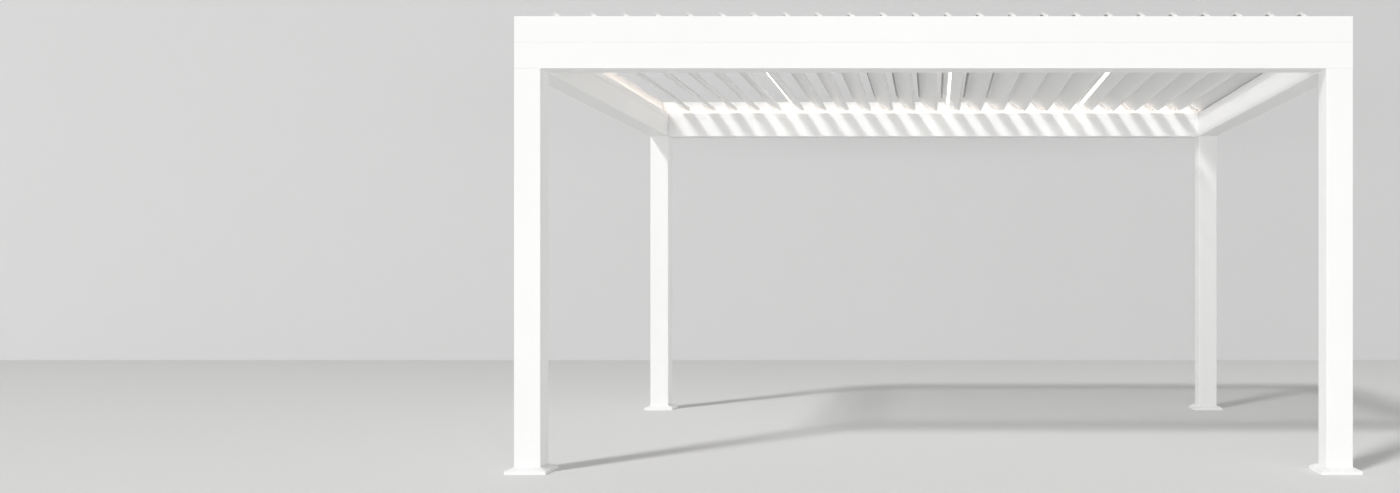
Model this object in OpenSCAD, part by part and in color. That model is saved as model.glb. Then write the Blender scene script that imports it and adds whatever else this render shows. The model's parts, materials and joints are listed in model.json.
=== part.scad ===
// Free-standing garden pergola with a roof of tilting louvres.
// Units are millimetres. X is the width, Y the depth with the back at +Y, Z is up.
// The origin is at the centre of the footprint, on the ground.
// The model is drawn at rest, with the louvres part open.

/* [Overall] */
// Width over the outer faces of the posts
width = 4750; // [4000:10:5400]
// Depth over the outer faces of the posts
depth = 3520; // [2400:10:4600]
// Height of the top edge of the roof frame
height = 2590; // [2300:10:3000]

/* [Posts] */
// Side of the square posts, and width of the beams on them
post_side = 150; // [140:1:175]
// Wall of the posts
post_wall = 3; // [2:0.5:5]
// Outer corner radius of the posts
post_corner_r = 4; // [2:0.5:6]

/* [Feet] */
// How far the square base plates stand out beyond the post
plate_reach = 35; // [30:1:39]
// Thickness of the base plates
plate_thickness = 10; // [6:1:14]
// Distance from the edge of a base plate to the middle of its anchor holes
anchor_edge = 20; // [15:1:24]
// Diameter of the anchor holes
anchor_hole_d = 14; // [10:1:16]
// Height of the sleeve that stands on each base plate inside its post
sleeve_height = 120; // [80:5:200]
// Wall of the sleeves
sleeve_wall = 4; // [3:0.5:6]
// Gap between a sleeve and its post
sleeve_gap = 0.3; // [0.2:0.1:1]
// Clearance between a base plate's edge and the foot cover round it
cover_clear = 5; // [4:1:20]
// Height of the foot covers' upright rim
cover_rim = 18; // [14:1:24]
// Full height of the foot covers
cover_height = 36; // [30:1:50]
// Wall of the foot covers
cover_wall = 2; // [1:0.5:3]
// Gap between a foot cover and its post
cover_gap = 0.3; // [0.2:0.1:1]

/* [Beams] */
// Height of the beams
beam_height = 148; // [120:1:180]
// Wall of the beams
beam_wall = 3; // [2:0.5:5]
// Outer corner radius of the beams and the roof frame
beam_corner_r = 3; // [2:0.5:5]

/* [Roof frame] */
// Height of the roof frame
frame_height = 148; // [140:1:180]
// Width of the closed box that runs along its outside
frame_box_width = 90; // [80:1:95]
// Wall of the roof frame
frame_wall = 3; // [2:0.5:4]
// Wall of the gutter beside it
gutter_wall = 3; // [2:0.5:4]
// Height of the gutter's lip
lip_height = 46; // [36:1:50]
// Radius of the drain hole over each post
drain_r = 16; // [10:1:18]
// Wall of the drain outlets, and thickness of their flange
outlet_wall = 2; // [1:0.5:3]
// How far the outlets' flange reaches past the drain hole
outlet_flange = 5; // [3:1:7]
// How far the outlets reach down into the posts
outlet_reach = 20; // [10:5:60]
// Gap between an outlet and its hole
outlet_gap = 0.3; // [0.2:0.1:1]
// Height of the closed strainers on the outlets, above their flange
strainer_height = 14; // [10:1:20]
// Number of slots round each strainer
slot_count = 12; // [8:1:12]
// Width of the strainers' slots
slot_width = 3; // [2:0.5:3.5]

/* [Louvres] */
// Number of louvres
louvre_count = 24; // [22:1:26]
// Tilt of the louvres at rest, from closed
rest_tilt = 38; // [10:1:80]
// Height of the pivots above the bottom of the roof frame
pivot_height = 92; // [88:1:100]
// From the left inner wall of the frame to the first pivot
first_inset = 214; // [190:1:240]
// From the last pivot to the right inner wall of the frame
last_inset = 56; // [54:1:80]
// Extra space between the first two louvres
first_extra = 26; // [0:1:40]
// Space between the louvre ends and the frame's inner wall
end_gap = 28; // [26:1:34]
// Wall of the louvre section
blade_wall = 2; // [1.5:0.1:2.5]
// From the pivot to the lower tip corner
tip_reach = 30; // [26:1:36]
// Height of the pivot above the tip corner
pivot_drop = 11; // [9:1:13]
// Width of the small gutter behind the tip
blade_gutter = 14; // [12:1:18]
// Height of the upstand at the tip, which the next hook covers
upstand_height = 20; // [18:1:22]
// How far the upstand leans out past the tip corner
upstand_lean = 9; // [7:1:11]
// Depth of the belly below the tip corner
belly_drop = 10; // [6:1:12]
// Outward bulge of the underside
belly_bulge = 2; // [1:0.5:3]
// Clearance between the hook and the upstand under it
hook_clear = 6; // [5:0.5:8]
// Outer radius of the hook
hook_r = 8; // [6:0.5:9]
// Thickness of the louvre end caps
cap_thickness = 3; // [2:0.5:4]
// Outer diameter of the ports inside the louvres that take the cap screws
port_d = 8; // [7:0.5:9]
// Diameter of the screw holes in the ports
port_hole_d = 4; // [3:0.5:5]

/* [Pivots and drive] */
// Diameter of the pivot pins
pivot_pin_d = 12; // [10:1:14]
// Diameter of the boss round the pins on the end caps
boss_d = 22; // [18:1:24]
// Height of the boss
boss_height = 4; // [2:1:6]
// Outer diameter of the pivot bushes
bush_d = 18; // [17:1:20]
// Diameter of the bush flange
bush_flange_d = 26; // [24:1:30]
// Thickness of the bush flange
bush_flange = 2; // [1:0.5:3]
// Radial running clearance of pins
running_clear = 0.05; // [0.02:0.01:0.1]
// Radius at which the drive pins stand from the pivots
arm_radius = 42; // [38:1:44]
// Direction of the drive arms with the louvres closed
arm_angle = 150; // [145:1:155]
// Width of the drive arms
arm_width = 16; // [14:1:18]
// Thickness of the drive arms
arm_thickness = 5; // [4:0.5:6]
// Diameter of the drive pins
drive_pin_d = 8; // [6:1:9]
// Height of the push rod
rod_height = 16; // [14:1:18]
// Thickness of the push rod
rod_thickness = 5; // [4:0.5:6]
// Gap between the push rod and the drive arms
rod_gap = 3; // [2:0.5:4]

/* [Lights] */
// Width of the light strips under the louvres
strip_width = 21; // [16:1:26]
// Thickness of the light strips
strip_thickness = 4; // [3:0.5:5]
// From the tip corner to the middle of the light strips
strip_from_tip = 99; // [90:1:105]
// Gap beside the light strips
strip_gap = 0.2; // [0.1:0.1:0.5]
// Height of the perimeter light bars in the gutter
bar_height = 16; // [12:1:20]
// Thickness of the perimeter light bars
bar_thickness = 10; // [8:1:12]
// Distance of the perimeter light bars below the top of the lip
bar_below_lip = 6; // [3:1:10]

/* [Hidden] */
light_louvres = [6, 13, 19];
light_names = ["light_strip_left", "light_strip_middle", "light_strip_right"];
corner_names = ["front_left", "front_right", "back_left", "back_right"];
corner_signs = [[-1, -1], [1, -1], [-1, 1], [1, 1]];
side_names = ["front", "right", "back", "left"];

seam_z = height - frame_height;
beam_z = seam_z - beam_height;
lip_z = seam_z + lip_height;
pivot_z = seam_z + pivot_height;
plate_side = post_side + 2 * plate_reach;
anchor_spacing = plate_side - 2 * anchor_edge;
post_x = (width - post_side) / 2;
post_y = (depth - post_side) / 2;
drain_inset = (frame_box_width + post_side) / 2;
drain_x = width / 2 - drain_inset;
drain_y = depth / 2 - drain_inset;

first_pivot_x = -width / 2 + frame_box_width + first_inset;
last_pivot_x = width / 2 - frame_box_width - last_inset;
pitch = (last_pivot_x - first_pivot_x - first_extra) / (louvre_count - 1);

// Front and back ends of the louvres, caps included
end_y = depth / 2 - frame_box_width - end_gap;

// Places on the louvre section, measured from its lower tip corner
floor_top = blade_wall;
nose_height = upstand_height / 2;
shoulder_height = upstand_height + blade_wall;
hook_top = upstand_height + hook_clear + blade_wall;
lip_bottom = floor_top + hook_clear;
slot_left = -pitch + upstand_lean - blade_wall - hook_clear;
slot_right = -pitch + upstand_lean + hook_clear;
hook_left = slot_left - blade_wall;
bevel_top = hook_top / 2;
belly_x = slot_right + hook_top;
tip_corner = [0, 0];
belly_corner = [belly_x, -belly_drop];
web_x = (slot_right - blade_gutter) / 2;
// How far a port's centre stands off the wall that carries it, as a share of its diameter
port_share = 3 / 8;
port_places = [
    [-blade_gutter - blade_wall - port_share * port_d, (floor_top + shoulder_height) / 2],
    [web_x, hook_top / 2],
    [slot_right + blade_wall + port_share * port_d, hook_top - blade_wall - port_share * port_d]
];
// How far the bevel runs on below the belly, as a share of its length, where the chamber is trimmed round
bevel_extra_share = 0.3;

// Circle that the bulged underside follows
chord = belly_corner - tip_corner;
chord_length = norm(chord);
chord_angle = atan2(-chord[1], -chord[0]);
belly_r = (pow(chord_length / 2, 2) + pow(belly_bulge, 2)) / (2 * belly_bulge);
chord_up = [-sin(chord_angle), cos(chord_angle)];
belly_centre = (tip_corner + belly_corner) / 2 + (belly_r - belly_bulge) * chord_up;
strip_swing = asin((chord_length / 2 - strip_from_tip) / belly_r);
strip_turn = chord_angle + strip_swing;

// Drive linkage at rest
arm_rest = arm_angle - rest_tilt;
drive_x = arm_radius * cos(arm_rest);
drive_z = arm_radius * sin(arm_rest);
rod_y = -end_y - arm_thickness - rod_gap;
rod_end = rod_height * 3 / 4;
pin_tail = blade_wall;
bush_tail = blade_wall;

round_fn = 48;
large_fn = 720;
overrun = 1;

function two_digits(k) = str(k < 10 ? "0" : "", k);
function louvre_name(k) = str("louvre_", two_digits(k));
function pivot_x(k) = k == 1 ? first_pivot_x : last_pivot_x - (louvre_count - k) * pitch;
function has_light(k) = len(search(k, light_louvres)) > 0;

// Helpers

function unit(v) = v / norm(v);
function inward(v) = [-unit(v)[1], unit(v)[0]];
// Corner b of a counter-clockwise outline, moved in by t from both of its edges
function inset_corner(a, b, c, t) =
    let (m = inward(b - a), n = inward(c - b)) b + t * (m + n) / (1 + m * n);
function inset(points, t) =
    let (n = len(points))
    [for (i = [0 : n - 1]) inset_corner(points[(i + n - 1) % n], points[i], points[(i + 1) % n], t)];

// Rectangle from the origin with round corners
module round_rect(size, r) {
    translate([r, 0]) square([size[0] - 2 * r, size[1]]);
    translate([0, r]) square([size[0], size[1] - 2 * r]);
    for (x = [r, size[0] - r], y = [r, size[1] - r])
        translate([x, y]) circle(r = r, $fn = round_fn);
}

// Hollow rectangle from the origin
module round_tube(size, r, wall) {
    difference() {
        round_rect(size, r);
        translate([wall, wall]) square([size[0] - 2 * wall, size[1] - 2 * wall]);
    }
}

// Flat drawing with X across and Y up, stood upright and run from y0 to y1
module run_y(y0, y1) {
    translate([0, y1, 0]) rotate([90, 0, 0]) linear_extrude(height = y1 - y0) children();
}

// Turn for one side of the roof: 0 front, 1 right, 2 back, 3 left
module on_side(side) {
    rotate([0, 0, 90 * side]) children();
}
function side_run(side) = side % 2 == 0 ? width : depth;
function side_reach(side) = (side % 2 == 0 ? depth : width) / 2;

// Profile with X inwards and Y up, run along the front at -reach and mitred at both ends
module mitred(run, reach) {
    band = post_side + overrun;
    intersection() {
        translate([-run / 2, -reach, 0]) rotate([90, 0, 90]) linear_extrude(height = run) children();
        linear_extrude(height = height + overrun)
            polygon([
                [-run / 2 - overrun, -reach - overrun],
                [run / 2 + overrun, -reach - overrun],
                [run / 2 - band, -reach + band],
                [-run / 2 + band, -reach + band]
            ]);
    }
}

// Upright round bars at the four drains, as holes through the gutter and the beams or as outlets
module at_drains(r, z0, z1) {
    for (s = corner_signs)
        translate([s[0] * drain_x, s[1] * drain_y, z0]) cylinder(r = r, h = z1 - z0, $fn = round_fn);
}

module at_post(corner) {
    translate([corner_signs[corner][0] * post_x, corner_signs[corner][1] * post_y, 0]) children();
}

// Feet and posts

module base_plate(corner) {
    sleeve = post_side - 2 * post_wall - 2 * sleeve_gap;
    color("silver")
        at_post(corner)
            difference() {
                union() {
                    translate([-plate_side / 2, -plate_side / 2, 0])
                        cube([plate_side, plate_side, plate_thickness]);
                    translate([-sleeve / 2, -sleeve / 2, plate_thickness / 2])
                        linear_extrude(height = sleeve_height + plate_thickness / 2)
                            difference() {
                                square([sleeve, sleeve]);
                                translate([sleeve_wall, sleeve_wall])
                                    square([sleeve - 2 * sleeve_wall, sleeve - 2 * sleeve_wall]);
                            }
                }
                for (s = corner_signs)
                    translate([s[0] * anchor_spacing / 2, s[1] * anchor_spacing / 2, -overrun])
                        cylinder(d = anchor_hole_d, h = plate_thickness + 2 * overrun, $fn = round_fn);
            }
}

// Low hip roof shape: an upright rim with four faces that slope in to a square top
module hipped(side, top, rim, full) {
    profile = [
        [-side / 2, 0],
        [side / 2, 0],
        [side / 2, rim],
        [top / 2, full],
        [-top / 2, full],
        [-side / 2, rim]
    ];
    intersection() {
        run_y(-side / 2, side / 2) polygon(profile);
        rotate([0, 0, 90]) run_y(-side / 2, side / 2) polygon(profile);
    }
}

module foot_cover(corner) {
    outer = plate_side + 2 * (cover_clear + cover_wall);
    hole = post_side + 2 * cover_gap;
    top = hole + 2 * cover_wall;
    color("white")
        at_post(corner)
            difference() {
                hipped(outer, top, cover_rim, cover_height);
                translate([0, 0, -overrun])
                    hipped(outer - 2 * cover_wall, hole, cover_rim - cover_wall + overrun, cover_height);
                translate([-hole / 2, -hole / 2, -overrun]) cube([hole, hole, cover_height + 2 * overrun]);
            }
}

module post(corner) {
    color("white")
        at_post(corner)
            translate([-post_side / 2, -post_side / 2, plate_thickness])
                linear_extrude(height = beam_z - plate_thickness)
                    round_tube([post_side, post_side], post_corner_r, post_wall);
}

// Beams and roof frame

module beam(side) {
    color("white")
        difference() {
            on_side(side)
                mitred(side_run(side), side_reach(side))
                    translate([0, beam_z])
                        round_tube([post_side, beam_height], beam_corner_r, beam_wall);
            at_drains(drain_r, beam_z - overrun, seam_z + overrun);
        }
}

// Open channel beside the frame's box, with a flange against the box and a lip inside, both round-edged
module gutter_profile() {
    for (x = [frame_box_width, post_side - gutter_wall]) {
        translate([x, 0]) square([gutter_wall, lip_height - gutter_wall / 2]);
        translate([x + gutter_wall / 2, lip_height - gutter_wall / 2])
            circle(d = gutter_wall, $fn = round_fn);
    }
    translate([frame_box_width, 0]) square([post_side - frame_box_width, gutter_wall]);
}

// Seats for the pivot bushes, in the wall between the box and the gutter
module bush_seats() {
    for (k = [1 : louvre_count], s = [-1, 1])
        translate([pivot_x(k), s * (depth / 2 - frame_box_width), pivot_z])
            rotate([90, 0, 0])
                cylinder(d = bush_d, h = 4 * frame_wall, center = true, $fn = round_fn);
}

module roof_frame(side) {
    color("white")
        difference() {
            on_side(side)
                mitred(side_run(side), side_reach(side))
                    translate([0, seam_z])
                        round_tube([frame_box_width, frame_height], beam_corner_r, frame_wall);
            if (side % 2 == 0) bush_seats();
        }
}

module gutter(side) {
    color("white")
        difference() {
            on_side(side)
                mitred(side_run(side), side_reach(side))
                    translate([0, seam_z])
                        gutter_profile();
            at_drains(drain_r, seam_z - overrun, seam_z + gutter_wall + overrun);
        }
}

// Upright slots in the strainers over the four drains
module strainer_slots(z0, z1) {
    for (s = corner_signs, i = [0 : slot_count - 1])
        translate([s[0] * drain_x, s[1] * drain_y, z0])
            rotate([0, 0, 360 * i / slot_count])
                translate([0, -slot_width / 2, 0])
                    cube([drain_r + overrun, slot_width, z1 - z0]);
}

// Flanged tubes that lead the rain from the gutter through the beams into the posts, each with a strainer
module drain_outlets() {
    flange_z = seam_z + gutter_wall + outlet_wall;
    crown_z = flange_z + strainer_height;
    tube_r = drain_r - outlet_gap;
    color("gray")
        difference() {
            union() {
                at_drains(drain_r + outlet_flange, seam_z + gutter_wall, flange_z);
                at_drains(tube_r, beam_z - outlet_reach, crown_z);
            }
            at_drains(tube_r - outlet_wall, beam_z - outlet_reach - overrun, crown_z - outlet_wall);
            strainer_slots(flange_z, crown_z - 2 * outlet_wall);
        }
}

// Flanged bush with its flange in the gutter, drawn with its axis on +Z from the gutter face of the wall
module pivot_bush() {
    difference() {
        union() {
            cylinder(d = bush_flange_d, h = bush_flange, $fn = round_fn);
            translate([0, 0, -frame_wall - bush_tail])
                cylinder(
                    d = bush_d - 2 * running_clear,
                    h = frame_wall + bush_tail + bush_flange,
                    $fn = round_fn
                );
        }
        translate([0, 0, -frame_wall - bush_tail - overrun])
            cylinder(
                d = pivot_pin_d + 2 * running_clear,
                h = frame_wall + bush_tail + bush_flange + 2 * overrun,
                $fn = round_fn
            );
    }
}

module pivot_bushes(front) {
    color("dimgray")
        rotate([0, 0, front ? 0 : 180])
            for (k = [1 : louvre_count])
                translate([(front ? 1 : -1) * pivot_x(k), -depth / 2 + frame_box_width, pivot_z])
                    rotate([-90, 0, 0]) pivot_bush();
}

// Louvres

// Closed body of the louvre section; extra runs its bevel on below the belly
function body_outline(extra) = [
    [-blade_gutter, -extra * belly_drop],
    [-blade_gutter, shoulder_height],
    [slot_right, hook_top],
    [slot_right, bevel_top],
    [slot_right, bevel_top] + (1 + extra) * (belly_corner - [slot_right, bevel_top])
];

module belly_circle(r) {
    translate(belly_centre) circle(r = r, $fn = large_fn);
}

// Lens between the straight line under the louvre and its bulged underside
module belly() {
    intersection() {
        belly_circle(belly_r);
        polygon([
            tip_corner,
            belly_corner,
            belly_corner - 2 * belly_bulge * chord_up,
            tip_corner - 2 * belly_bulge * chord_up
        ]);
    }
}

module body_section() {
    polygon([tip_corner, [-blade_gutter, floor_top], each body_outline_top(), belly_corner]);
    belly();
}
function body_outline_top() = [for (i = [1 : 3]) body_outline(0)[i]];

// Leaning nose and upstand along the tip
module upstand_section() {
    polygon([
        tip_corner,
        [upstand_lean, nose_height],
        [upstand_lean, upstand_height],
        [upstand_lean - blade_wall, upstand_height],
        [upstand_lean - blade_wall, nose_height + blade_wall / 2],
        [0, floor_top + blade_wall / 2],
        [-blade_gutter, floor_top],
        [-blade_gutter - blade_wall, 0]
    ]);
}

// Round-backed hook that covers the next upstand
module hook_section() {
    inner_r = hook_r - blade_wall;
    centre_x = hook_left + hook_r;
    centre_z = hook_top - hook_r;
    difference() {
        union() {
            translate([centre_x, lip_bottom])
                square([slot_right + blade_wall - centre_x, hook_top - lip_bottom]);
            translate([hook_left, lip_bottom]) square([hook_r, centre_z - lip_bottom]);
            translate([centre_x, centre_z]) circle(r = hook_r, $fn = round_fn);
        }
        translate([centre_x, lip_bottom - overrun])
            square([slot_right - centre_x, hook_top - blade_wall - lip_bottom + overrun]);
        translate([slot_left, lip_bottom - overrun]) square([inner_r, centre_z - lip_bottom + overrun]);
        translate([centre_x, centre_z]) circle(r = inner_r, $fn = round_fn);
    }
}

// Hollow inside the louvre, in two cells with a web between them, and round ports for the cap screws
module chamber_section() {
    difference() {
        intersection() {
            polygon(inset(body_outline(bevel_extra_share), blade_wall));
            belly_circle(belly_r - blade_wall);
        }
        translate([web_x - blade_wall / 2, -hook_top]) square([blade_wall, 2 * hook_top]);
        for (p = port_places)
            translate(p) circle(d = port_d, $fn = round_fn);
    }
    for (p = port_places)
        translate(p) circle(d = port_hole_d, $fn = round_fn);
}

// Moves a drawing of a light strip, Y up from its outer face, to its place on the underside
module at_strip() {
    translate(belly_centre)
        rotate(strip_turn)
            translate([0, -belly_r]) children();
}

// Section of a whole louvre, from its lower tip corner
module blade_section(light) {
    pocket = strip_width + 2 * strip_gap;
    difference() {
        union() {
            difference() {
                union() {
                    body_section();
                    upstand_section();
                    hook_section();
                }
                chamber_section();
            }
            if (light)
                at_strip()
                    translate([-pocket / 2 - blade_wall, blade_wall / 2])
                        square([pocket + 2 * blade_wall, strip_thickness + blade_wall / 2]);
        }
        if (light)
            at_strip()
                translate([-pocket / 2, -overrun]) square([pocket, strip_thickness + overrun]);
    }
}

// Places a closed louvre's parts, drawn about its tip corner, on pivot k at the rest tilt
module at_pivot(k) {
    translate([pivot_x(k), 0, pivot_z]) rotate([0, rest_tilt, 0]) children();
}

module from_tip() {
    translate([tip_reach, 0, -pivot_drop]) children();
}

module end_cap(y0) {
    from_tip() run_y(y0, y0 + cap_thickness) body_section();
}

// Arm from the pivot to the drive pin, and the pin
module drive_arm() {
    tip = arm_radius * [cos(arm_angle), sin(arm_angle)];
    run_y(-end_y - arm_thickness, -end_y + cap_thickness / 2) {
        circle(d = arm_width, $fn = round_fn);
        rotate(arm_angle) translate([0, -arm_width / 2]) square([arm_radius, arm_width]);
        translate(tip) circle(d = arm_width, $fn = round_fn);
    }
    run_y(rod_y - rod_thickness - pin_tail, -end_y - arm_thickness / 2)
        translate(tip) circle(d = drive_pin_d, $fn = round_fn);
}

// Pins with the bosses that carry them on the end caps
module pivot_pins() {
    reach = end_gap + frame_wall + bush_tail + pin_tail;
    for (s = [-1, 1])
        translate([0, s * (end_y - cap_thickness / 2), 0])
            rotate([-90 * s, 0, 0]) {
                cylinder(d = pivot_pin_d, h = reach + cap_thickness / 2, $fn = round_fn);
                cylinder(d = boss_d, h = boss_height + cap_thickness / 2, $fn = round_fn);
            }
}

module louvre(k) {
    color("white")
        at_pivot(k) {
            from_tip() run_y(-end_y + cap_thickness, end_y - cap_thickness) blade_section(has_light(k));
            end_cap(-end_y);
            end_cap(end_y - cap_thickness);
            pivot_pins();
            drive_arm();
        }
}

module light_strip(i) {
    color("lightyellow")
        at_pivot(light_louvres[i])
            from_tip()
                run_y(-end_y + cap_thickness, end_y - cap_thickness)
                    at_strip()
                        translate([-strip_width / 2, 0]) square([strip_width, strip_thickness]);
}

// Drive and perimeter lights

// Flat bar that joins all drive pins
module push_rod() {
    x0 = pivot_x(1) + drive_x - rod_end;
    x1 = pivot_x(louvre_count) + drive_x + rod_end;
    color("silver")
        translate([0, 0, pivot_z + drive_z])
            difference() {
                translate([x0, rod_y - rod_thickness, -rod_height / 2])
                    cube([x1 - x0, rod_thickness, rod_height]);
                for (k = [1 : louvre_count])
                    translate([pivot_x(k) + drive_x, rod_y + overrun, 0])
                        rotate([90, 0, 0])
                            cylinder(
                                d = drive_pin_d + 2 * running_clear,
                                h = rod_thickness + 2 * overrun,
                                $fn = round_fn
                            );
            }
}

// Light bars behind the lip, aimed across the gutter
module perimeter_lights() {
    color("lightyellow")
        for (side = [0 : 3])
            on_side(side)
                mitred(side_run(side), side_reach(side))
                    translate([post_side - gutter_wall - bar_thickness, lip_z - bar_below_lip - bar_height])
                        square([bar_thickness, bar_height]);
}

// Drawing

for (c = [0 : 3]) {
    base_plate(c);
    foot_cover(c);
    post(c);
}
for (s = [0 : 3]) {
    beam(s);
    roof_frame(s);
    gutter(s);
}
for (k = [1 : louvre_count]) {
    louvre(k);
}
for (i = [0 : 2]) {
    light_strip(i);
}
drain_outlets();
pivot_bushes(true);  // pivot_bushes_front
pivot_bushes(false);  // pivot_bushes_back
push_rod();
perimeter_lights();
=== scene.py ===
"""Looks of a white pergola with tilting louvres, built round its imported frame.

Every size that the pieces here share with the construction is read from the frame, or is a named
field of the class that builds the piece. Lengths are in metres and angles in radians.
"""
import json
import logging
from dataclasses import dataclass, field
from enum import Enum
from math import cos, pi, radians, sin, sqrt, tau
from typing import Any, Callable, ClassVar, Iterable, Sequence

import bmesh
import bpy
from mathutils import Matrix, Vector


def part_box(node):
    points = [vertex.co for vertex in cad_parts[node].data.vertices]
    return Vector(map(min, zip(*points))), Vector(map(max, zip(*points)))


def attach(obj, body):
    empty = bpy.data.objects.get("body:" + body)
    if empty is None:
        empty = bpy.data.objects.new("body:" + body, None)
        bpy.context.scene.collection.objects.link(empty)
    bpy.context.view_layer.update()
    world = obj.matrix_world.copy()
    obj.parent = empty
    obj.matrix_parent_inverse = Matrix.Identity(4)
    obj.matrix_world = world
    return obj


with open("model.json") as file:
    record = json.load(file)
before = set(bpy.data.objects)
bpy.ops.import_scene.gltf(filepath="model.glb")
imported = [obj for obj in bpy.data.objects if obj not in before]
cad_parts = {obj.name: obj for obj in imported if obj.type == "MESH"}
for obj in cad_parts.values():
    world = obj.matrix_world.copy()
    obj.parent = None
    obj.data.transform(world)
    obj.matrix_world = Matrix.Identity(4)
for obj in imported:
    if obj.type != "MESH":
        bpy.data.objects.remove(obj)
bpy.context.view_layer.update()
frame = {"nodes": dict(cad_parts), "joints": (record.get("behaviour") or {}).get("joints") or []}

LOG = logging.getLogger("pergola")

Point = tuple[float, float, float]
Flat = tuple[float, float]
Colour = tuple[float, float, float]
Face = tuple[int, ...]
Socket = bpy.types.NodeSocket
Value = float | bpy.types.NodeSocket

UP: Point = (0.0, 0.0, 1.0)
WHITE: Colour = (1.0, 1.0, 1.0)
QUARTER_TURN = pi / 2
NOISE_MIDDLE = 0.5


class Slot(str, Enum):
    """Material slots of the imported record."""

    FRAME = "frame_coat"
    LOUVRE = "louvre_coat"
    STEEL = "foot_steel"
    NYLON = "bush_nylon"
    ROD = "rod_aluminium"
    LIGHT = "light_diffuser"


class Side(Enum):
    """Sides of the rim, with the quarter turns that bring the front to each."""

    FRONT = 0
    RIGHT = 1
    BACK = 2
    LEFT = 3


# Reading the frame


@dataclass(frozen=True)
class Rim:
    """Sizes of the roof's rim and where its gutter runs, read from the frame.

    Attributes:
        half_width: From the middle to the outer face of the right side.
        half_depth: From the middle to the outer face of the front.
        seam: Height of the seam between the beams and the roof frame.
        band: Width of the rim, from its outer face to the gutter's inner face.
        box: Width of the roof frame's closed box.
        wall: Thickness of the gutter's sheet.
        lip: Height of the gutter's inner lip.
    """

    half_width: float
    half_depth: float
    seam: float
    band: float
    box: float
    wall: float
    lip: float

    @classmethod
    def from_frame(cls, bush_flange: float = 0.002, wall: float = 0.003, light_drop: float = 0.006) -> "Rim":
        """Work the sizes out from the nodes' boxes.

        Args:
            bush_flange: Thickness of a pivot bush's flange, which lies on the box.
            wall: Thickness of the gutter's sheet.
            light_drop: From the gutter's lip down to the top of the light bars.

        Returns:
            The rim's sizes.
        """
        low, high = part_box("roof_frame_front")
        post_low, post_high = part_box("post_front_left")
        _, bush_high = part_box("pivot_bushes_front")
        _, light_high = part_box("perimeter_lights")
        return cls(
            half_width=high.x,
            half_depth=-low.y,
            seam=low.z,
            band=post_high.x - post_low.x,
            box=bush_high.y - bush_flange - low.y,
            wall=wall,
            lip=light_high.z + light_drop,
        )

    @property
    def channel_middle(self) -> float:
        """Distance from the outer face to the middle of the gutter."""
        return (self.box + self.band) / 2

    def corner(self, inset: float, z: float, index: int) -> Point:
        """Corner of a ring that runs a given distance inside the outer faces.

        Args:
            inset: Distance in from the outer faces.
            z: Height of the ring.
            index: Corner number, from the front left, counter-clockwise seen from above.

        Returns:
            The corner's place.
        """
        signs = ((-1, -1), (1, -1), (1, 1), (-1, 1))
        sx, sy = signs[index % 4]
        return (sx * (self.half_width - inset), sy * (self.half_depth - inset), z)


@dataclass(frozen=True)
class Pivot:
    """One louvre's pivot at rest.

    Attributes:
        body: The body that turns on it.
        x: Its place across the roof.
        z: Its height.
        tilt: Angle from closed to rest.
    """

    body: str
    x: float
    z: float
    tilt: float

    def place(self, across: float, y: float, up: float) -> Point:
        """Turn a point of the closed louvre to its place at rest.

        Args:
            across: Distance right of the pivot, with the louvre closed.
            y: Distance along the louvre.
            up: Height above the pivot, with the louvre closed.

        Returns:
            The point in the row frame.
        """
        c, s = cos(self.tilt), sin(self.tilt)
        return (self.x + across * c + up * s, y, self.z - across * s + up * c)


def read_pivots() -> list[Pivot]:
    """Read each louvre's pivot from the frame's joints.

    Returns:
        The pivots from left to right.
    """
    found = []
    for joint in frame["joints"]:
        if joint["child"].startswith("louvre_"):
            x, _, z = joint["pos_m"]
            found.append(Pivot(joint["child"], x, z, -radians(joint["range_deg"][0])))
    return sorted(found, key=lambda p: p.x)


# Node helpers


def opaque(colour: Colour) -> tuple[float, float, float, float]:
    """Colour with full alpha, as a colour socket takes it."""
    return (*colour, 1.0)


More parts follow.
